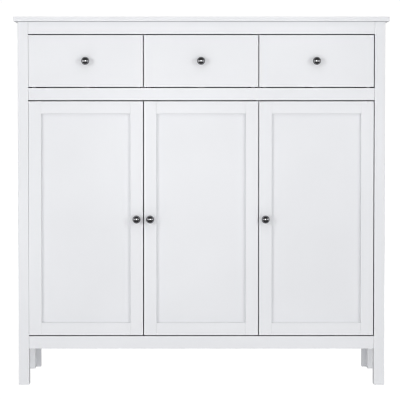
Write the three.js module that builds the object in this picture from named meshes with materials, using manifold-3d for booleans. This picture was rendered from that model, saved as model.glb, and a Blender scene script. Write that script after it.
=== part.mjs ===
// Tall sideboard buffet: three drawers in a row over three frame-and-panel
// doors, on four square-cut legs. Millimetres, +X to the right, +Y to the
// back, +Z up. The origin is on the floor at the middle of the outline.
import * as THREE from 'three';
import { mergeVertices } from 'three/addons/utils/BufferGeometryUtils.js';
import Module from 'manifold-3d';

const wasm = await Module();
wasm.setup();

// ---------------------------------------------------------------- dimensions
const GAP = 0.3;               // clearance kept between glued or screwed pieces

const TOP_WIDTH = 1200;        // top panel, side to side
const TOP_FRONT = -191;        // front edge of the top panel
const TOP_BACK = 209;          // rear edge of the top panel
const TOTAL_HEIGHT = 1181;
const TOP_THICKNESS = 15;

const CASE_HALF = 588;         // outer faces of the legs
const LEG_WIDTH = 33.5;
const LEG_FRONT = -181;        // front face of the front legs
const LEG_DEPTH = 38;
const REAR_LEG_BACK = 204;     // rear face of the back legs
const REAR_SIDE_FLANGE = 18;   // thickness of the back leg's side flange
const REAR_LEG_FRONT = 144;    // front edge of that flange
const REAR_BACK_FLANGE = 18;   // thickness of the back leg's rear flange

const PANEL = 15;              // case boards
const SIDE_SETBACK = 3;        // side panel set in from the legs' outer faces
const BACK_THICKNESS = 4;

const RAIL_THICKNESS = 18;
const RAIL_SETBACK = 0.8;      // rails sit just behind the legs' front faces
const TOP_RAIL_LOW = 1125.8;
const MID_RAIL = [914.4, 953.9];
const BOTTOM_RAIL = [116.5, 156.6];

const FRONT_FACE = -180.5;     // front face of the doors and drawer fronts
const FRONT_THICKNESS = 18;
const FRONT_WIDTH = 366.5;
const FRONT_LEFT_EDGES = { left: -554.0, centre: -184.5, right: 185.0 };
const DRAWER_FRONT = [956.9, 1122.6];
const DOOR = [159.9, 910.9];

const STILE = 40.5;
const DOOR_RAIL = 39.5;
const PANEL_RECESS = 9;        // door panel behind the face of its frame
const PANEL_THICKNESS = 5;
const GROOVE_DEPTH = 8;

const KNOB_DIAMETER = 26;
const KNOB_REACH = 28.5;       // knob tip in front of the face it is screwed to
const DOOR_KNOB_HEIGHT = 533;

const DIVIDER_CENTRES = { left: -186.0, right: 183.5 };
const PARTITION_CENTRE = 183.5;
const UPRIGHT_SETBACK = 12;     // dividers and partition start this far behind the rails
const SHELF = { top: 535, thickness: 15, front: -120 };

const DRAWER_BOX_WIDTH = 346;
const DRAWER_SIDE = 12;
const DRAWER_BOX = [954.9, 1090];
const DRAWER_BACK_FACE = 165;
const DRAWER_BOTTOM = [969, 973];
const DRAWER_GROOVE = 5;
const RUNNER = { width: 22, height: 12 };

const HINGE_INSET = 100;       // hinge centre from the door's end
const CUP_DIAMETER = 26;
const CUP_CENTRE = 17.5;       // cup centre from the door's hinge edge
const CUP_DEPTH = 10.5;

// ----------------------------------------------------------------- materials
const paint = (hex, roughness) =>
  new THREE.MeshStandardMaterial({ color: hex, roughness, metalness: 0 });
const finishes = {
  paint: () => paint(0xeceef2, 0.42),
  doorPanel: () => paint(0xe9ebef, 0.45),
  inside: () => paint(0xe6e7ea, 0.55),
  backBoard: () => paint(0xdfe0e3, 0.65),
  runner: () => paint(0xd9dadc, 0.5),
  knob: () => new THREE.MeshStandardMaterial({ color: 0x2b2b2e, roughness: 0.22, metalness: 1 }),
  steel: () => new THREE.MeshStandardMaterial({ color: 0xb4b6b9, roughness: 0.35, metalness: 1 }),
};

// ------------------------------------------------------------------- helpers
// One closed surface: shared corners merged, collapsed triangles dropped and
// every face turned to point outwards.
function weld(geometry) {
  const bare = geometry.clone();
  bare.deleteAttribute('normal');
  bare.deleteAttribute('uv');
  const merged = mergeVertices(bare, 1e-4);
  const source = merged.getIndex().array;
  const p = merged.getAttribute('position');
  const kept = [];
  let volume = 0;
  const a = new THREE.Vector3(), b = new THREE.Vector3(), c = new THREE.Vector3();
  for (let i = 0; i < source.length; i += 3) {
    const [i0, i1, i2] = [source[i], source[i + 1], source[i + 2]];
    if (i0 === i1 || i1 === i2 || i0 === i2) continue;
    kept.push(i0, i1, i2);
    a.fromBufferAttribute(p, i0); b.fromBufferAttribute(p, i1); c.fromBufferAttribute(p, i2);
    volume += a.dot(b.cross(c));
  }
  if (volume < 0) {
    for (let i = 0; i < kept.length; i += 3) [kept[i + 1], kept[i + 2]] = [kept[i + 2], kept[i + 1]];
  }
  merged.setIndex(kept);
  return merged;
}

function toSolid(geometry) {
  const g = weld(geometry);
  return new wasm.Manifold(new wasm.Mesh({
    numProp: 3,
    vertProperties: new Float32Array(g.getAttribute('position').array),
    triVerts: new Uint32Array(g.getIndex().array),
  }));
}

function fromSolid(solid) {
  const m = solid.getMesh();
  const g = new THREE.BufferGeometry();
  g.setAttribute('position', new THREE.BufferAttribute(new Float32Array(m.vertProperties), 3));
  g.setIndex(new THREE.BufferAttribute(new Uint32Array(m.triVerts), 1));
  return g;
}

const board = (x0, x1, y0, y1, z0, z1) =>
  new THREE.BoxGeometry(x1 - x0, y1 - y0, z1 - z0)
    .translate((x0 + x1) / 2, (y0 + y1) / 2, (z0 + z1) / 2);

function outline(points) {
  const s = new THREE.Shape();
  points.forEach(([u, v], i) => (i ? s.lineTo(u, v) : s.moveTo(u, v)));
  s.closePath();
  return s;
}

// A plan-view outline (x, y) raised from z0 to z1.
const raise = (shape, z0, z1) =>
  weld(new THREE.ExtrudeGeometry(shape, { depth: z1 - z0, bevelEnabled: false, curveSegments: 8 })
    .translate(0, 0, z0));

// A front-view outline (x, z) run from y0 back to y1.
const runBack = (shape, y0, y1) =>
  weld(new THREE.ExtrudeGeometry(shape, { depth: y1 - y0, bevelEnabled: false, curveSegments: 8 })
    .rotateX(Math.PI / 2).translate(0, y1, 0));

// A profile (radius, reach) turned about an axis that points to the front.
const turnForward = (profile, x, y, z, segments) =>
  weld(new THREE.LatheGeometry(profile.map(([r, d]) => new THREE.Vector2(r, d)), segments)
    .rotateX(Math.PI).translate(x, y, z));

const cabinet = new THREE.Group();
function piece(parent, name, geometry, material) {
  const mesh = new THREE.Mesh(geometry, material);
  mesh.name = name;
  parent.add(mesh);
  return mesh;
}

// ---------------------------------------------------------------------- case
const carcass = new THREE.Group();
cabinet.add(carcass);

const topUnder = TOTAL_HEIGHT - TOP_THICKNESS;
const legTop = topUnder - GAP;
const legInner = CASE_HALF - LEG_WIDTH;
const frontLegBack = LEG_FRONT + LEG_DEPTH;
const sideOuter = CASE_HALF - SIDE_SETBACK;
const sideInner = sideOuter - PANEL;
const backPanelRear = REAR_LEG_BACK - REAR_BACK_FLANGE - GAP;
const backPanelFront = backPanelRear - BACK_THICKNESS;
const caseBack = backPanelFront - GAP;
const railFront = LEG_FRONT + RAIL_SETBACK;
const railBack = railFront + RAIL_THICKNESS;
const caseFront = railBack + GAP;

piece(carcass, 'top_panel',
  board(-TOP_WIDTH / 2, TOP_WIDTH / 2, TOP_FRONT, TOP_BACK, topUnder, TOTAL_HEIGHT), finishes.paint());

for (const [side, s] of [['left', -1], ['right', 1]]) {
  const x = (u, v) => [Math.min(s * u, s * v), Math.max(s * u, s * v)];
  piece(carcass, `front_leg_${side}`,
    board(...x(legInner, CASE_HALF), LEG_FRONT, frontLegBack, 0, legTop), finishes.paint());
  piece(carcass, `rear_leg_${side}`, raise(outline([
    [s * CASE_HALF, REAR_LEG_FRONT],
    [s * CASE_HALF, REAR_LEG_BACK],
    [s * legInner, REAR_LEG_BACK],
    [s * legInner, REAR_LEG_BACK - REAR_BACK_FLANGE],
    [s * (CASE_HALF - REAR_SIDE_FLANGE), REAR_LEG_BACK - REAR_BACK_FLANGE],
    [s * (CASE_HALF - REAR_SIDE_FLANGE), REAR_LEG_FRONT],
  ]), 0, legTop), finishes.paint());
  piece(carcass, `side_panel_${side}`,
    board(...x(sideInner, sideOuter), frontLegBack + GAP, REAR_LEG_FRONT - GAP, BOTTOM_RAIL[0], legTop),
    finishes.paint());
}

const railSpan = legInner - GAP;
piece(carcass, 'top_rail', board(-railSpan, railSpan, railFront, railBack, TOP_RAIL_LOW, legTop), finishes.paint());
piece(carcass, 'middle_rail', board(-railSpan, railSpan, railFront, railBack, ...MID_RAIL), finishes.paint());
piece(carcass, 'bottom_rail', board(-railSpan, railSpan, railFront, railBack, ...BOTTOM_RAIL), finishes.paint());

// Full-width boards, notched round the front legs.
const span = sideInner - GAP;
const notchBack = frontLegBack + GAP;
const notched = () => outline([
  [-railSpan, caseFront], [railSpan, caseFront], [railSpan, notchBack], [span, notchBack],
  [span, caseBack], [-span, caseBack], [-span, notchBack], [-railSpan, notchBack],
]);
piece(carcass, 'bottom_panel', raise(notched(), BOTTOM_RAIL[1] - PANEL, BOTTOM_RAIL[1]), finishes.inside());
piece(carcass, 'drawer_deck', raise(notched(), MID_RAIL[1] - PANEL, MID_RAIL[1]), finishes.inside());
piece(carcass, 'back_panel',
  board(-span, span, backPanelFront, backPanelRear, BOTTOM_RAIL[1] - PANEL, legTop), finishes.backBoard());

const half = PANEL / 2;
piece(carcass, 'centre_partition',
  board(PARTITION_CENTRE - half, PARTITION_CENTRE + half, caseFront + UPRIGHT_SETBACK, caseBack,
    BOTTOM_RAIL[1] + GAP, MID_RAIL[1] - PANEL - GAP), finishes.inside());
for (const side of ['left', 'right']) {
  piece(carcass, `drawer_divider_${side}`,
    board(DIVIDER_CENTRES[side] - half, DIVIDER_CENTRES[side] + half, caseFront + UPRIGHT_SETBACK, caseBack,
      MID_RAIL[1] + GAP, legTop), finishes.inside());
}
piece(carcass, 'shelf_left',
  board(-span, PARTITION_CENTRE - half - GAP, SHELF.front, caseBack, SHELF.top - SHELF.thickness, SHELF.top),
  finishes.inside());
piece(carcass, 'shelf_right',
  board(PARTITION_CENTRE + half + GAP, span, SHELF.front, caseBack, SHELF.top - SHELF.thickness, SHELF.top),
  finishes.inside());

// --------------------------------------------------------------------- knobs
// A ball on a short waisted stem with a small foot against the wood.
function knobGeometry(x, z) {
  const r = KNOB_DIAMETER / 2;
  const centre = KNOB_REACH - r;
  const profile = [[0, GAP], [7, GAP], [7.4, 1.2], [5.6, 2.6], [4.9, 3.6]];
  const start = Math.asin(5.2 / r);
  const steps = 12;
  for (let i = 0; i <= steps; i++) {
    const t = start + (Math.PI - start) * (i / steps);
    profile.push([i === steps ? 0 : r * Math.sin(t), centre - r * Math.cos(t)]);
  }
  return turnForward(profile, x, FRONT_FACE, z, 24);
}

// ------------------------------------------------------------------- drawers
for (const where of ['left', 'centre', 'right']) {
  const drawer = new THREE.Group();
  cabinet.add(drawer);
  const x0 = FRONT_LEFT_EDGES[where];
  const x1 = x0 + FRONT_WIDTH;
  const cx = (x0 + x1) / 2;
  const faceBack = FRONT_FACE + FRONT_THICKNESS;
  const boxFront = faceBack + GAP;
  piece(drawer, `drawer_${where}_front`,
    board(x0, x1, FRONT_FACE, faceBack, ...DRAWER_FRONT), finishes.paint());
  const outer = DRAWER_BOX_WIDTH / 2;
  const inner = outer - DRAWER_SIDE;
  const [zLow, zHigh] = DRAWER_BOX;
  const [bLow, bHigh] = DRAWER_BOTTOM;
  for (const [side, s] of [['left', -1], ['right', 1]]) {
    // Side board with the groove that holds the drawer's bottom.
    piece(drawer, `drawer_${where}_side_${side}`, runBack(outline([
      [cx + s * outer, zLow],
      [cx + s * outer, zHigh],
      [cx + s * inner, zHigh],
      [cx + s * inner, bHigh + GAP],
      [cx + s * (inner + DRAWER_GROOVE), bHigh + GAP],
      [cx + s * (inner + DRAWER_GROOVE), bLow - GAP],
      [cx + s * inner, bLow - GAP],
      [cx + s * inner, zLow],
    ]), boxFront, DRAWER_BACK_FACE), finishes.inside());
  }
  piece(drawer, `drawer_${where}_back`,
    board(cx - inner + GAP, cx + inner - GAP, DRAWER_BACK_FACE - DRAWER_SIDE, DRAWER_BACK_FACE,
      bHigh + GAP, zHigh), finishes.inside());
  const reach = inner + DRAWER_GROOVE - GAP;
  piece(drawer, `drawer_${where}_bottom`,
    board(cx - reach, cx + reach, boxFront, DRAWER_BACK_FACE, bLow, bHigh), finishes.backBoard());
  piece(drawer, `drawer_${where}_knob`,
    knobGeometry(cx, (DRAWER_FRONT[0] + DRAWER_FRONT[1]) / 2), finishes.knob());
  piece(carcass, `drawer_runner_${where}`,
    board(cx - RUNNER.width / 2, cx + RUNNER.width / 2, caseFront + 4, caseBack - 8,
      MID_RAIL[1] + GAP, MID_RAIL[1] + GAP + RUNNER.height), finishes.runner());
}

// --------------------------------------------------------------------- doors
// hinge: which edge is hung. mount: the upright face the hinge arms sit on,
// and plate: how far front to back their mounting plates lie on it.
const legPlate = [FRONT_FACE + FRONT_THICKNESS + 2.4, frontLegBack - 0.5];
const DOORS = {
  left: { hinge: -1, mount: -legInner, plate: legPlate },
  centre: { hinge: 1, mount: PARTITION_CENTRE - half, plate: [caseFront + UPRIGHT_SETBACK + 1, caseFront + UPRIGHT_SETBACK + 31] },
  right: { hinge: 1, mount: legInner, plate: legPlate },
};
const hingeHeights = { bottom: DOOR[0] + HINGE_INSET, top: DOOR[1] - HINGE_INSET };
const innerFace = FRONT_FACE + FRONT_THICKNESS;

function cupGeometry(x, z) {
  const r = CUP_DIAMETER / 2;
  const body = toSolid(turnForward([[0, 0], [r, 0], [r, CUP_DEPTH], [0, CUP_DEPTH]],
    x, innerFace + GAP, z, 24));
  // Screw flange lying on the door's inner face, rounded at both ends.
  const flange = new THREE.Shape();
  const hw = 7.5, hl = 20;
  flange.moveTo(x - hw, z - hl + hw);
  flange.absarc(x, z - hl + hw, hw, Math.PI, 2 * Math.PI, false);
  flange.lineTo(x + hw, z + hl - hw);
  flange.absarc(x, z + hl - hw, hw, 0, Math.PI, false);
  flange.closePath();
  const plate = toSolid(runBack(flange, innerFace + GAP, innerFace + 1.5));
  const rim = toSolid(turnForward([[0, -1.2], [r + 1.5, -1.2], [r + 1.5, 0.2], [0, 0.2]],
    x, innerFace + GAP, z, 24));
  const well = toSolid(turnForward([[0, -3], [r - 1.4, -3], [r - 1.4, 7], [0, 7]],
    x, innerFace + GAP, z, 24));
  return fromSolid(body.add(plate).add(rim).subtract(well));
}

// Mounting plate on the upright with the cranked arm that reaches the cup.
function armGeometry(mount, plateRun, hinge, cupX, z) {
  const s = -hinge;                      // from the upright towards the bay
  const y0 = innerFace + 2.4;
  const [p0, y1] = plateRun;
  const x = (d) => mount + s * d;
  const span2 = (u, v) => [Math.min(u, v), Math.max(u, v)];
  const plate = toSolid(board(...span2(x(GAP), x(2.3)), p0, y1, z - 22, z + 22));
  const tip = Math.abs(cupX - mount) + 5;
  const arm = toSolid(raise(outline([
    [x(2.0), y0 + 1], [x(2.0), y1 - 1], [x(8.5), y1 - 1], [x(10.5), y1 - 4],
    [x(10.5), y0 + 5.5], [x(tip - 1.5), y0 + 5.5], [x(tip), y0 + 4], [x(tip), y0 + 1],
  ]), z - 7, z + 7));
  return fromSolid(plate.add(arm));
}

for (const where of ['left', 'centre', 'right']) {
  const door = new THREE.Group();
  cabinet.add(door);
  const { hinge, mount, plate } = DOORS[where];
  const x0 = FRONT_LEFT_EDGES[where];
  const x1 = x0 + FRONT_WIDTH;
  const [z0, z1] = DOOR;
  const hungEdge = hinge < 0 ? x0 : x1;
  const cupX = hungEdge - hinge * CUP_CENTRE;
  const panelFront = FRONT_FACE + PANEL_RECESS;
  const g = GROOVE_DEPTH + GAP;

  let frame = toSolid(board(x0, x1, FRONT_FACE, innerFace, z0, z1));
  frame = frame.subtract(toSolid(board(x0 + STILE, x1 - STILE, FRONT_FACE - 5, innerFace + 5,
    z0 + DOOR_RAIL, z1 - DOOR_RAIL)));
  frame = frame.subtract(toSolid(board(x0 + STILE - g, x1 - STILE + g,
    panelFront - GAP, panelFront + PANEL_THICKNESS + GAP,
    z0 + DOOR_RAIL - g, z1 - DOOR_RAIL + g)));
  for (const end of ['top', 'bottom']) {
    frame = frame.subtract(toSolid(turnForward(
      [[0, -5], [CUP_DIAMETER / 2 + GAP, -5], [CUP_DIAMETER / 2 + GAP, CUP_DEPTH + GAP], [0, CUP_DEPTH + GAP]],
      cupX, innerFace, hingeHeights[end], 24)));
  }
  piece(door, `door_${where}_frame`, fromSolid(frame), finishes.paint());
  piece(door, `door_${where}_panel`,
    board(x0 + STILE - GROOVE_DEPTH, x1 - STILE + GROOVE_DEPTH,
      panelFront, panelFront + PANEL_THICKNESS,
      z0 + DOOR_RAIL - GROOVE_DEPTH, z1 - DOOR_RAIL + GROOVE_DEPTH), finishes.doorPanel());
  const freeEdge = hinge < 0 ? x1 : x0;
  piece(door, `door_${where}_knob`,
    knobGeometry(freeEdge + hinge * (STILE / 2), DOOR_KNOB_HEIGHT), finishes.knob());
  for (const end of ['top', 'bottom']) {
    piece(door, `door_${where}_hinge_cup_${end}`, cupGeometry(cupX, hingeHeights[end]), finishes.steel());
    piece(carcass, `door_${where}_hinge_arm_${end}`,
      armGeometry(mount, plate, hinge, cupX, hingeHeights[end]), finishes.steel());
  }
}

export default cabinet;
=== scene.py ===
import math

import bmesh
import bpy
from mathutils import Matrix, Vector


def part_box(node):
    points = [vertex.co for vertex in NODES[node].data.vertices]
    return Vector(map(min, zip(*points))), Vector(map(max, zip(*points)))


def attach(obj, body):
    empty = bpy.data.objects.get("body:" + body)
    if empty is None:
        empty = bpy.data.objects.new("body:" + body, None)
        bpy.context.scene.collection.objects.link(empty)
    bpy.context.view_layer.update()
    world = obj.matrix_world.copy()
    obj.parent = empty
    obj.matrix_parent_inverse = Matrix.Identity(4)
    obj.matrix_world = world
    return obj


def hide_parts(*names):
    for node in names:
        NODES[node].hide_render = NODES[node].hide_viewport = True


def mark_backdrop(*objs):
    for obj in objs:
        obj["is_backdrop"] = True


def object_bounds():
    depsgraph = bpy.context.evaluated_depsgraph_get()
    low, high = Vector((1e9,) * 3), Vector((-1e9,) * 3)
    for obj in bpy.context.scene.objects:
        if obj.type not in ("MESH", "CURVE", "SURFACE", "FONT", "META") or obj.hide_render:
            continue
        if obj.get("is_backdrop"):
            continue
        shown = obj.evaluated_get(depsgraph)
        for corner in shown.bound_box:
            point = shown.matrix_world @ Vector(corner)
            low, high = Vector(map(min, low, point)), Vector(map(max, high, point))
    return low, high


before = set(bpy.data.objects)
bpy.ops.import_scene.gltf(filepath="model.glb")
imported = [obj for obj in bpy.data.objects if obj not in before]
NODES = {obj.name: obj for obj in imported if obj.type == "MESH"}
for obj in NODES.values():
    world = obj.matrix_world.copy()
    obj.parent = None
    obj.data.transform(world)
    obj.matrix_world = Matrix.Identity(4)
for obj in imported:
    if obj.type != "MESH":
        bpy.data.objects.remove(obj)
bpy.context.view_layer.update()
MM = 0.001


# --------------------------------------------------------------------------
# Materials. Every one is procedural and measured in metres, because each
# piece sits at the origin with its place in its mesh.
# --------------------------------------------------------------------------
class Surface:
    """A small node-graph writer round one Principled shader."""

    def __init__(self, name, color, rough, metallic=0.0, **sockets):
        self.mat = bpy.data.materials.new(name)
        self.mat.use_nodes = True
        self.tree = self.mat.node_tree
        self.bsdf = next(n for n in self.tree.nodes if n.type == "BSDF_PRINCIPLED")
        self.bsdf.inputs["Base Color"].default_value = (*color, 1)
        self.bsdf.inputs["Roughness"].default_value = rough
        self.bsdf.inputs["Metallic"].default_value = metallic
        for key, value in sockets.items():
            self.bsdf.inputs[key.replace("_", " ")].default_value = value
        self.coord = self.tree.nodes.new("ShaderNodeTexCoord")
        self.height = None
        self.mat.diffuse_color = (*color, 1)

    def link(self, a, b):
        self.tree.links.new(a, b)

    def noise(self, scale, detail=3.0, rough=0.5, stretch=(1, 1, 1), offset=(0, 0, 0), distortion=0.0):
        m = self.tree.nodes.new("ShaderNodeMapping")
        m.inputs["Scale"].default_value = stretch
        m.inputs["Location"].default_value = offset
        self.link(self.coord.outputs["Object"], m.inputs["Vector"])
        n = self.tree.nodes.new("ShaderNodeTexNoise")
        n.inputs["Scale"].default_value = scale
        n.inputs["Detail"].default_value = detail
        n.inputs["Roughness"].default_value = rough
        n.inputs["Distortion"].default_value = distortion
        self.link(m.outputs["Vector"], n.inputs["Vector"])
        return n.outputs["Fac"]

    def remap(self, value, lo, hi, out_lo, out_hi):
        r = self.tree.nodes.new("ShaderNodeMapRange")
        r.inputs["From Min"].default_value = lo
        r.inputs["From Max"].default_value = hi
        r.inputs["To Min"].default_value = out_lo
        r.inputs["To Max"].default_value = out_hi
        self.link(value, r.inputs["Value"])
        return r.outputs["Result"]

    def tint(self, value, color_a, color_b, under=None):
        """Blends two colours by value; under, if given, takes the place of colour a."""
        m = self.tree.nodes.new("ShaderNodeMix")
        m.data_type = "RGBA"
        m.inputs["A"].default_value = (*color_a, 1)
        for i, s in enumerate(m.inputs):
            if s.type == "RGBA" and s.name == "A":
                s.default_value = (*color_a, 1)
                if under is not None:
                    self.link(under, s)
            if s.type == "RGBA" and s.name == "B":
                s.default_value = (*color_b, 1)
        self.link(value, m.inputs["Factor"])
        out = next(s for s in m.outputs if s.type == "RGBA")
        return out

    def color(self, out):
        self.link(out, self.bsdf.inputs["Base Color"])

    def roughness(self, out):
        self.link(out, self.bsdf.inputs["Roughness"])

    def bump(self, value, strength, distance):
        b = self.tree.nodes.new("ShaderNodeBump")
        b.inputs["Strength"].default_value = strength
        b.inputs["Distance"].default_value = distance
        self.link(value, b.inputs["Height"])
        if self.height is not None:
            self.link(self.height, b.inputs["Normal"])
        self.height = b.outputs["Normal"]
        self.link(self.height, self.bsdf.inputs["Normal"])


GRAIN = {"x": (2.2, 46, 46), "y": (46, 2.2, 46), "z": (46, 46, 2.2)}


def paint(name, base, grain=None, rough=(0.36, 0.46)):
    """Sprayed satin paint: fine orange peel, a trace of the wood's grain under
    it, and slow changes of tone and gloss across a board."""
    s = Surface(name, base, sum(rough) / 2, IOR=1.42, Specular_IOR_Level=0.22)
    slow = s.noise(2.6, 2.0, 0.5, offset=(3.1, 0.7, 1.9))
    darker = tuple(c * 0.965 for c in base)
    lighter = tuple(min(1.0, c * 1.012) for c in base)
    s.color(s.tint(s.remap(slow, 0.3, 0.7, 0.0, 1.0), darker, lighter))
    s.roughness(s.remap(s.noise(38, 4.0, 0.6), 0.3, 0.7, rough[0], rough[1]))
    if grain:
        s.bump(s.noise(8.0, 5.0, 0.62, stretch=GRAIN[grain], distortion=0.25), 0.10, 0.0002)
    s.bump(s.noise(640, 2.0, 0.45), 0.10, 0.00012)
    return s.mat


PAINT = (0.752, 0.760, 0.784)
M_TOP = paint("paint_top_board", PAINT, "x")
M_UP = paint("paint_uprights", PAINT, "z")
M_RAIL = paint("paint_rails", PAINT, "x")
M_FRONT = paint("paint_drawer_fronts", PAINT, "x")
M_SIDE = paint("paint_side_panels", PAINT, None)
M_STILE = paint("paint_door_stiles", PAINT, "z")
M_DOORRAIL = paint("paint_door_rails", PAINT, "x")
# Door panels: the frames' paint made 1% darker, painted shade for their recess behind the frames.
M_PANEL_SHADED = paint("paint_door_panels_shaded", tuple(c * 0.99 for c in PAINT), None, (0.38, 0.48))


def foil(name, base, stretch):
    """Matt white foil on board: printed tone, very fine pressed grain."""
    s = Surface(name, base, 0.55, IOR=1.45)
    fibre = s.noise(9.0, 6.0, 0.65, stretch=stretch, distortion=0.35)
    s.color(s.tint(s.remap(fibre, 0.35, 0.65, 0.0, 1.0), tuple(c * 0.955 for c in base), base))
    s.roughness(s.remap(s.noise(60, 3.0, 0.5), 0.3, 0.7, 0.48, 0.62))
    s.bump(fibre, 0.14, 0.0002)
    s.bump(s.noise(900, 2.0, 0.5), 0.12, 0.0001)
    return s.mat


M_FOIL_X = foil("foil_boards_level", (0.77, 0.775, 0.79), (2.5, 60, 60))
M_FOIL_Z = foil("foil_boards_upright", (0.77, 0.775, 0.79), (60, 60, 2.5))
M_FOIL_Y = foil("foil_drawer_sides", (0.76, 0.765, 0.78), (60, 2.5, 60))


def fibreboard(name, base):
    """Thin painted fibreboard: mottled, matt, with a faint pressed texture."""
    s = Surface(name, base, 0.65, IOR=1.44)
    mottle = s.noise(340, 6.0, 0.68, distortion=0.6)
    s.color(s.tint(s.remap(mottle, 0.35, 0.65, 0.0, 1.0), tuple(c * 0.955 for c in base), base))
    s.roughness(s.remap(s.noise(24, 3.0, 0.5), 0.3, 0.7, 0.58, 0.74))
    s.bump(s.noise(420, 4.0, 0.6), 0.22, 0.00025)
    return s.mat


M_BACK = fibreboard("fibreboard_back", (0.73, 0.73, 0.735))
M_BOTTOM = fibreboard("fibreboard_drawer_bottoms", (0.74, 0.74, 0.75))


def knob_metal(name):
    """Polished black nickel: a dark mirror with faint haze."""
    s = Surface(name, (0.185, 0.185, 0.192), 0.14, metallic=1.0)
    haze = s.noise(260, 4.0, 0.6)
    s.color(s.tint(s.remap(haze, 0.35, 0.65, 0.0, 1.0), (0.172, 0.172, 0.179), (0.200, 0.200, 0.207)))
    s.roughness(s.remap(s.noise(120, 5.0, 0.65), 0.3, 0.7, 0.10, 0.18))
    s.bump(s.noise(1500, 2.0, 0.5), 0.03, 0.00005)
    return s.mat


def hinge_metal(name):
    """Nickel-plated pressed steel: bright, with rolling streaks and light pitting."""
    s = Surface(name, (0.62, 0.62, 0.61), 0.3, metallic=1.0)
    streak = s.noise(20, 5.0, 0.6, stretch=(30, 30, 2))
    s.color(s.tint(s.remap(streak, 0.35, 0.65, 0.0, 1.0), (0.55, 0.55, 0.54), (0.68, 0.68, 0.67)))
    s.roughness(s.remap(streak, 0.3, 0.7, 0.24, 0.40))
    s.bump(streak, 0.08, 0.0001)
    s.bump(s.noise(900, 3.0, 0.6), 0.05, 0.00008)
    return s.mat


def plastic(name, base):
    """Moulded plastic with a fine spark-eroded texture."""
    s = Surface(name, base, 0.45, IOR=1.49)
    s.color(s.tint(s.remap(s.noise(30, 3.0, 0.5), 0.3, 0.7, 0.0, 1.0), tuple(c * 0.94 for c in base), base))
    s.roughness(s.remap(s.noise(300, 4.0, 0.6), 0.3, 0.7, 0.38, 0.55))
    s.bump(s.noise(1400, 3.0, 0.6), 0.18, 0.0001)
    return s.mat


M_KNOB = knob_metal("black_nickel_knobs")
M_STEEL = hinge_metal("nickel_plated_hinges")
M_RUNNER = plastic("plastic_runners", (0.70, 0.70, 0.71))
M_BUMPER = plastic("clear_grey_bumpers", (0.62, 0.63, 0.64))


# --------------------------------------------------------------------------
# Geometry helpers
# --------------------------------------------------------------------------
def dress(node, mat, width, segments=2):
    """Keeps the CAD solid, eases its arrises and gives it its material."""
    o = NODES[node]
    o.data.materials.clear()
    o.data.materials.append(mat)
    for p in o.data.polygons:
        p.use_smooth = True
        p.material_index = 0
    w = o.modifiers.new("weld", "WELD")
    w.merge_threshold = 1e-5
    d = o.modifiers.new("planar", "DECIMATE")
    d.decimate_type = "DISSOLVE"
    d.angle_limit = math.radians(0.5)
    b = o.modifiers.new("arris", "BEVEL")
    b.width = width
    b.segments = segments
    b.limit_method = "ANGLE"
    b.angle_limit = math.radians(35)
    b.harden_normals = True
    n = o.modifiers.new("normals", "WEIGHTED_NORMAL")
    n.keep_sharp = True
    return o


def box_bmesh(lo, hi):
    bm = bmesh.new()
    bmesh.ops.create_cube(bm, size=1.0)
    for v in bm.verts:
        v.co = Vector((lo[i] if v.co[i] < 0 else hi[i]) for i in range(3))
    return bm


def new_object(name, bm, mat):
    me = bpy.data.meshes.new(name)
    bmesh.ops.recalc_face_normals(bm, faces=bm.faces)
    bm.to_mesh(me)
    bm.free()
    if mat is not None:
        me.materials.append(mat)
    o = bpy.data.objects.new(name, me)
    bpy.context.scene.collection.objects.link(o)
    return o


def cylinder_bmesh(centre, axis, radius, length, segments=48):
    bm = bmesh.new()
    bmesh.ops.create_cone(bm, cap_ends=True, segments=segments, radius1=radius, radius2=radius, depth=length)
    rot = Vector((0, 0, 1)).rotation_difference(Vector(axis).normalized()).to_matrix().to_4x4()
    bmesh.ops.transform(bm, matrix=Matrix.Translation(centre) @ rot, verts=bm.verts)
    return bm


def cut(o, cutters):
    """Boolean differences, applied, so that the mesh itself is the board."""
    tools = [new_object(f"tool_{i}", bm, None) for i, bm in enumerate(cutters)]
    for t in tools:
        m = o.modifiers.new("cut", "BOOLEAN")
        m.operation = "DIFFERENCE"
        m.solver = "EXACT"
        m.object = t
    dg = bpy.context.evaluated_depsgraph_get()
    me = bpy.data.meshes.new_from_object(o.evaluated_get(dg))
    o.modifiers.clear()
    old = o.data
    o.data = me
    me.name = old.name + "_cut"
    bpy.data.meshes.remove(old)
    for t in tools:
        m = t.data
        bpy.data.objects.remove(t)
        bpy.data.meshes.remove(m)
    return o


def ease(o, width, segments=2, angle=35):
    for p in o.data.polygons:
        p.use_smooth = True
    b = o.modifiers.new("arris", "BEVEL")
    b.width = width
    b.segments = segments
    b.limit_method = "ANGLE"
    b.angle_limit = math.radians(angle)
    b.harden_normals = True
    n = o.modifiers.new("normals", "WEIGHTED_NORMAL")
    n.keep_sharp = True
    return o


def turned(name, profile, origin, axis, mat, segments=72):
    """Spins (radius, reach) points round an axis that starts at origin."""
    bm = bmesh.new()
    rings = []
    for r, d in profile:
        if r < 1e-7:
            rings.append([bm.verts.new((0, 0, d))])
        else:
            rings.append([bm.verts.new((r * math.cos(2 * math.pi * i / segments),
                                        r * math.sin(2 * math.pi * i / segments), d))
                          for i in range(segments)])
    for a, b in zip(rings, rings[1:]):
        for i in range(segments):
            j = (i + 1) % segments
            if len(a) == 1:
                bm.faces.new((a[0], b[i], b[j]))
            elif len(b) == 1:
                bm.faces.new((a[i], a[j], b[0]))
            else:
                bm.faces.new((a[i], a[j], b[j], b[i]))
    rot = Vector((0, 0, 1)).rotation_difference(Vector(axis).normalized()).to_matrix().to_4x4()
    bmesh.ops.transform(bm, matrix=Matrix.Translation(origin) @ rot, verts=bm.verts)
    o = new_object(name, bm, mat)
    for p in o.data.polygons:
        p.use_smooth = True
    return o


def centre_of(node):
    lo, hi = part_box(node)
    return (lo + hi) / 2


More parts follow.
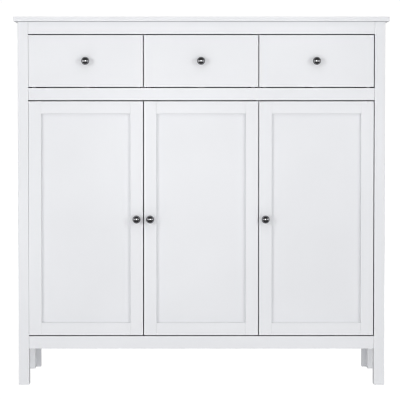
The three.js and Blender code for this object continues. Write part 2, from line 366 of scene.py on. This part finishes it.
# --------------------------------------------------------------------------
# The case: CAD solids, dressed
# --------------------------------------------------------------------------
dress("top_panel", M_TOP, 1.6 * MM, 3)
for side in ("left", "right"):
    dress(f"front_leg_{side}", M_UP, 1.2 * MM, 3)
    dress(f"rear_leg_{side}", M_UP, 1.0 * MM, 2)
    dress(f"side_panel_{side}", M_SIDE, 0.6 * MM)
for n in ("top_rail", "middle_rail", "bottom_rail"):
    dress(n, M_RAIL, 0.9 * MM, 2)
for n in ("bottom_panel", "drawer_deck", "shelf_left", "shelf_right"):
    dress(n, M_FOIL_X, 0.5 * MM)
for n in ("centre_partition", "drawer_divider_left", "drawer_divider_right"):
    dress(n, M_FOIL_Z, 0.5 * MM)
dress("back_panel", M_BACK, 0.4 * MM)
for d in ("left", "centre", "right"):
    dress(f"drawer_runner_{d}", M_RUNNER, 1.2 * MM, 3)
    dress(f"drawer_{d}_front", M_FRONT, 1.3 * MM, 3)
    dress(f"drawer_{d}_side_left", M_FOIL_Y, 0.6 * MM)
    dress(f"drawer_{d}_side_right", M_FOIL_Y, 0.6 * MM)
    dress(f"drawer_{d}_back", M_FOIL_X, 0.6 * MM)
    dress(f"drawer_{d}_bottom", M_BOTTOM, 0.3 * MM)
    dress(f"door_{d}_panel", M_PANEL_SHADED, 0.5 * MM)
    for end in ("top", "bottom"):
        dress(f"door_{d}_hinge_cup_{end}", M_STEEL, 0.35 * MM)
        dress(f"door_{d}_hinge_arm_{end}", M_STEEL, 0.5 * MM)


# --------------------------------------------------------------------------
# Door frames: two full-height stiles and two rails between them, glued, so
# the joints show as hairlines
# --------------------------------------------------------------------------
STILE, RAIL = 40.5 * MM, 39.5 * MM
CUP_R, CUP_DEPTH = 13.3 * MM, 10.8 * MM
for d in ("left", "centre", "right"):
    body = f"door_{d}"
    lo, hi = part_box(f"door_{d}_frame")
    plo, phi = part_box(f"door_{d}_panel")
    slack = 0.3 * MM
    groove = lambda: box_bmesh(plo - Vector((slack,) * 3), phi + Vector((slack,) * 3))
    bores = {}
    for end in ("top", "bottom"):
        clo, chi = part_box(f"door_{d}_hinge_cup_{end}")
        c = (clo + chi) / 2
        bores[end] = lambda c=c: cylinder_bmesh(
            (c.x, hi.y - CUP_DEPTH + 0.01, c.z), (0, 1, 0), CUP_R, 0.02)
    hung_left = centre_of(f"door_{d}_hinge_cup_top").x < (lo.x + hi.x) / 2
    boards = {
        "stile_left": ((lo.x, lo.y, lo.z), (lo.x + STILE, hi.y, hi.z), hung_left),
        "stile_right": ((hi.x - STILE, lo.y, lo.z), (hi.x, hi.y, hi.z), not hung_left),
        "rail_top": ((lo.x + STILE, lo.y, hi.z - RAIL), (hi.x - STILE, hi.y, hi.z), False),
        "rail_bottom": ((lo.x + STILE, lo.y, lo.z), (hi.x - STILE, hi.y, lo.z + RAIL), False),
    }
    for part, (a, b, hung) in boards.items():
        o = new_object(f"door_{d}_{part}", box_bmesh(a, b), M_STILE if "stile" in part else M_DOORRAIL)
        cutters = [groove()]
        if hung:
            cutters += [bores["top"](), bores["bottom"]()]
        cut(o, cutters)
        ease(o, 0.55 * MM, 2)
        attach(o, body)
        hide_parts(f"door_{d}_frame")


# --------------------------------------------------------------------------
# Knobs: foot, waisted stem and a polished ball, turned in one piece
# --------------------------------------------------------------------------
def knob_profile():
    r, reach = 13.0, 28.5
    c = reach - r
    pts = [(0, 0.3), (6.6, 0.3), (7.0, 0.45), (7.25, 0.8), (7.2, 1.3), (6.9, 1.7), (6.2, 2.05),
           (5.6, 2.5), (5.15, 3.1), (4.95, 3.7), (5.0, 4.1)]
    start = math.asin(5.25 / r)
    steps = 40
    for i in range(steps + 1):
        t = start + (math.pi - start) * i / steps
        pts.append((0.0 if i == steps else r * math.sin(t), c - r * math.cos(t)))
    return [(a * MM, b * MM) for a, b in pts]


for d in ("left", "centre", "right"):
    for kind in ("drawer", "door"):
        node = f"{kind}_{d}_knob"
        lo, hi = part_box(node)
        c = (lo + hi) / 2
        k = turned(f"{kind}_{d}_ball_knob", knob_profile(), (c.x, hi.y + 0.3 * MM, c.z), (0, -1, 0), M_KNOB)
        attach(k, f"{kind}_{d}")
        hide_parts(node)


# --------------------------------------------------------------------------
# Small fittings
# --------------------------------------------------------------------------
def screw_head(bm, centre, axis, radius, height):
    """A domed cross-recess screw head, added to bm."""
    rot = Vector((0, 0, 1)).rotation_difference(Vector(axis).normalized()).to_matrix().to_4x4()
    m = Matrix.Translation(centre) @ rot
    seg = 24
    prof = [(1.0, 0.0), (1.0, 0.25), (0.86, 0.62), (0.62, 0.88), (0.40, 1.0)]
    rings = []
    for r, z in prof:
        rings.append([bm.verts.new(m @ Vector((radius * r * math.cos(2 * math.pi * i / seg),
                                               radius * r * math.sin(2 * math.pi * i / seg),
                                               height * z))) for i in range(seg)])
    base = bm.verts.new(m @ Vector((0, 0, 0)))
    # Cross recess: the innermost ring dips except along the two slots' walls.
    inner = []
    for i in range(seg):
        a = 2 * math.pi * i / seg
        slot = abs(math.sin(2 * a)) < 0.55
        inner.append(bm.verts.new(m @ Vector((radius * 0.36 * math.cos(a), radius * 0.36 * math.sin(a),
                                              height * (0.25 if slot else 0.98)))))
    tip = bm.verts.new(m @ Vector((0, 0, height * 0.15)))
    rings.append(inner)
    for i in range(seg):
        j = (i + 1) % seg
        bm.faces.new((base, rings[0][j], rings[0][i]))
        for a, b in zip(rings, rings[1:]):
            bm.faces.new((a[i], a[j], b[j], b[i]))
        bm.faces.new((inner[i], inner[j], tip))


def screws(name, spots, body, mat=None, radius=3.6 * MM, height=1.6 * MM):
    bm = bmesh.new()
    for centre, axis in spots:
        screw_head(bm, Vector(centre), axis, radius, height)
    o = new_object(name, bm, mat or M_STEEL)
    for p in o.data.polygons:
        p.use_smooth = True
    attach(o, body)
    return o


for d in ("left", "centre", "right"):
    for end in ("top", "bottom"):
        lo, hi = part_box(f"door_{d}_hinge_cup_{end}")
        c = (lo + hi) / 2
        screws(f"door_{d}_hinge_cup_screws_{end}",
               [((c.x, hi.y, c.z + s * 16.2 * MM), (0, 1, 0)) for s in (-1, 1)],
               f"door_{d}", radius=2.9 * MM, height=1.1 * MM)
        alo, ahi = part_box(f"door_{d}_hinge_arm_{end}")
        inward = 1 if c.x > (alo.x + ahi.x) / 2 - 1 * MM and alo.x < c.x and d == "left" else -1
        plate_x = (alo.x + 2.0 * MM) if inward > 0 else (ahi.x - 2.0 * MM)
        ac = (alo + ahi) / 2
        screws(f"door_{d}_hinge_arm_screws_{end}",
               [((plate_x, ac.y, ac.z + s * 15 * MM), (inward, 0, 0)) for s in (-1, 1)],
               "cabinet", radius=3.4 * MM, height=1.5 * MM)

# Shelf pins: steel studs, four under each shelf.
for side in ("left", "right"):
    lo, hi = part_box(f"shelf_{side}")
    bm = bmesh.new()
    for x, s in ((lo.x, 1), (hi.x, -1)):
        for y in (lo.y + 40 * MM, hi.y - 40 * MM):
            b = cylinder_bmesh((x + s * 4.5 * MM, y, lo.z - 3.0 * MM), (1, 0, 0), 2.5 * MM, 8.0 * MM, 24)
            me = bpy.data.meshes.new("tmp")
            b.to_mesh(me)
            b.free()
            bm.from_mesh(me)
            bpy.data.meshes.remove(me)
    o = new_object(f"shelf_pins_{side}", bm, M_STEEL)
    ease(o, 0.5 * MM, 2)
    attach(o, "cabinet")

# Soft bumper dots on the doors' inner faces at the free edge.
for d in ("left", "centre", "right"):
    lo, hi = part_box(f"door_{d}_frame")
    hung_left = centre_of(f"door_{d}_hinge_cup_top").x < (lo.x + hi.x) / 2
    x = hi.x - 14 * MM if hung_left else lo.x + 14 * MM
    for end, z in (("top", hi.z - 14 * MM), ("bottom", lo.z + 14 * MM)):
        prof = [(0, 0), (4.2, 0), (4.2, 0.35), (3.9, 0.75), (3.2, 1.1), (2.0, 1.35), (0, 1.45)]
        o = turned(f"door_{d}_bumper_{end}", [(a * MM, b * MM) for a, b in prof],
                   (x, hi.y, z), (0, 1, 0), M_BUMPER, 32)
        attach(o, f"door_{d}")

# Flat-head nails round the back panel.
lo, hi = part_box("back_panel")
bm = bmesh.new()
spots = []
nx, nz = 11, 10
for i in range(nx + 1):
    x = lo.x + 30 * MM + (hi.x - lo.x - 60 * MM) * i / nx
    spots += [(x, lo.z + 8 * MM), (x, hi.z - 8 * MM)]
for k in range(1, nz):
    z = lo.z + (hi.z - lo.z) * k / nz
    spots.append((0.1835, z))
for x, z in spots:
    b = cylinder_bmesh((x, hi.y + 0.35 * MM, z), (0, 1, 0), 3.0 * MM, 0.9 * MM, 20)
    me = bpy.data.meshes.new("tmp")
    b.to_mesh(me)
    b.free()
    bm.from_mesh(me)
    bpy.data.meshes.remove(me)
o = new_object("back_panel_nails", bm, M_STEEL)
ease(o, 0.25 * MM, 2)
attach(o, "cabinet")


# --------------------------------------------------------------------------
# Camera
# --------------------------------------------------------------------------
cam_data = bpy.data.cameras.new("camera")
cam = bpy.data.objects.new("camera", cam_data)
bpy.context.scene.collection.objects.link(cam)
cam_data.sensor_width = 36.0
cam_data.lens = 136.28
cam_data.shift_y = -0.0793
cam_data.clip_start = 0.1
cam_data.clip_end = 200.0
cam.location = (-0.0047, -5.031, 0.8327)
cam.rotation_euler = (math.radians(90 - 1.607), 0, 0)
bpy.context.scene.camera = cam


# --------------------------------------------------------------------------
# Stage: white floor and surround, soft boxes
# --------------------------------------------------------------------------
def glow(name, strength, diffuse, far=None):
    """A self-lit stage surface; far=(near_m, far_m, strength) brightens it away from the object."""
    m = bpy.data.materials.new(name)
    m.use_nodes = True
    t = m.node_tree
    t.nodes.clear()
    out = t.nodes.new("ShaderNodeOutputMaterial")
    e = t.nodes.new("ShaderNodeEmission")
    e.inputs["Strength"].default_value = strength
    if far:
        g = t.nodes.new("ShaderNodeNewGeometry")
        d = t.nodes.new("ShaderNodeVectorMath")
        d.operation = "LENGTH"
        r = t.nodes.new("ShaderNodeMapRange")
        r.interpolation_type = "SMOOTHSTEP"
        r.inputs["From Min"].default_value = far[0]
        r.inputs["From Max"].default_value = far[1]
        r.inputs["To Min"].default_value = strength
        r.inputs["To Max"].default_value = far[2]
        t.links.new(g.outputs["Position"], d.inputs[0])
        t.links.new(d.outputs["Value"], r.inputs["Value"])
        t.links.new(r.outputs["Result"], e.inputs["Strength"])
    if diffuse:
        d = t.nodes.new("ShaderNodeBsdfDiffuse")
        d.inputs["Color"].default_value = (diffuse, diffuse, diffuse, 1)
        a = t.nodes.new("ShaderNodeAddShader")
        t.links.new(e.outputs[0], a.inputs[0])
        t.links.new(d.outputs[0], a.inputs[1])
        t.links.new(a.outputs[0], out.inputs["Surface"])
    else:
        t.links.new(e.outputs[0], out.inputs["Surface"])
    return m


def only_for(o, *rays):
    """The stage surface or soft box is met by these kinds of ray and no others."""
    for kind in ("camera", "diffuse", "glossy", "transmission", "volume_scatter", "shadow"):
        setattr(o, f"visible_{kind}", kind in rays)


def plane(name, size, z, mat):
    bm = bmesh.new()
    bmesh.ops.create_grid(bm, x_segments=1, y_segments=1, size=size)
    o = new_object(name, bm, mat)
    o.location.z = z
    return o


def ball(name, radius, mat):
    bm = bmesh.new()
    bmesh.ops.create_icosphere(bm, subdivisions=4, radius=radius)
    return new_object(name, bm, mat)


floor = plane("floor", 29.0, -0.0005, glow("floor_white", 0.93, 0.15, (0.8, 2.4, 1.04)))
only_for(floor, "camera")
bounce = plane("floor_bounce", 12.0, -0.0015, glow("floor_bounce", 0.65, 0))
only_for(bounce, "diffuse")
surround = ball("surround", 30.0, glow("surround_white", 1.02, 0))
only_for(surround, "camera")
surround_gloss = ball("surround_gloss", 28.0, glow("surround_dim", 0.18, 0))
only_for(surround_gloss, "glossy")
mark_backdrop(floor, bounce, surround, surround_gloss)

world = bpy.data.worlds.new("studio")
bpy.context.scene.world = world
world.use_nodes = True
wt = world.node_tree
bg = next(n for n in wt.nodes if n.type == "BACKGROUND")
bg.inputs["Color"].default_value = (1, 1, 1, 1)
bg.inputs["Strength"].default_value = 0.18
world.cycles_visibility.camera = False
world.cycles_visibility.glossy = False


def soft_box(name, loc, target, w, h, watts, rays=("diffuse", "glossy", "transmission")):
    data = bpy.data.lights.new(name, "AREA")
    data.shape = "RECTANGLE"
    data.size, data.size_y = w, h
    data.energy = watts
    o = bpy.data.objects.new(name, data)
    bpy.context.scene.collection.objects.link(o)
    o.location = loc
    o.rotation_mode = "QUATERNION"
    o.rotation_quaternion = (Vector(target) - Vector(loc)).to_track_quat("-Z", "Y")
    only_for(o, *rays, "shadow")
    return o


D, G = ("diffuse",), ("glossy",)
soft_box("side_left", (-3.6, -4.1, 1.6), (0, -0.1, 0.75), 1.1, 1.7, 82, D)
soft_box("side_right", (3.6, -4.1, 1.6), (0, -0.1, 0.75), 1.1, 1.7, 72, D)
soft_box("above_front", (0.0, -2.1, 3.2), (0, 0, 0.9), 2.6, 1.0, 20, D)
soft_box("low_front", (0.0, -2.4, 0.3), (0, 0, 0.2), 2.8, 0.4, 11, D)
soft_box("above_top", (0.0, 0.9, 4.0), (0, 0, 1.0), 3.0, 2.0, 72, D)
for s, tag in ((-1, "left"), (1, "right")):
    soft_box(f"rear_{tag}", (s * 2.4, 3.0, 1.8), (0, 0, 0.6), 1.8, 1.8, 55, D)
    soft_box(f"rear_sheen_{tag}", (s * 2.4, 3.0, 1.8), (0, 0, 0.6), 1.8, 1.8, 24, G)
soft_box("gloss_front", (-0.1, -2.9, 0.95), (0, 0, 0.85), 1.3, 1.35, 66, G)
for s, tag in ((-1, "left"), (1, "right")):
    for az, n in ((47, "a"), (80, "b")):
        a = math.radians(az)
        soft_box(f"gloss_{tag}_{n}", (s * 3.0 * math.sin(a), -0.2 - 3.0 * math.cos(a), 0.85),
                 (0, -0.2, 0.85), 1.5, 1.7, 19, G)

bpy.context.scene.view_settings.view_transform = "Standard"
bpy.context.scene.view_settings.look = "None"
bpy.context.scene.view_settings.exposure = 0.0
bpy.context.scene.view_settings.gamma = 1.0
bpy.context.scene.cycles.filter_width = 1.05

lo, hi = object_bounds()
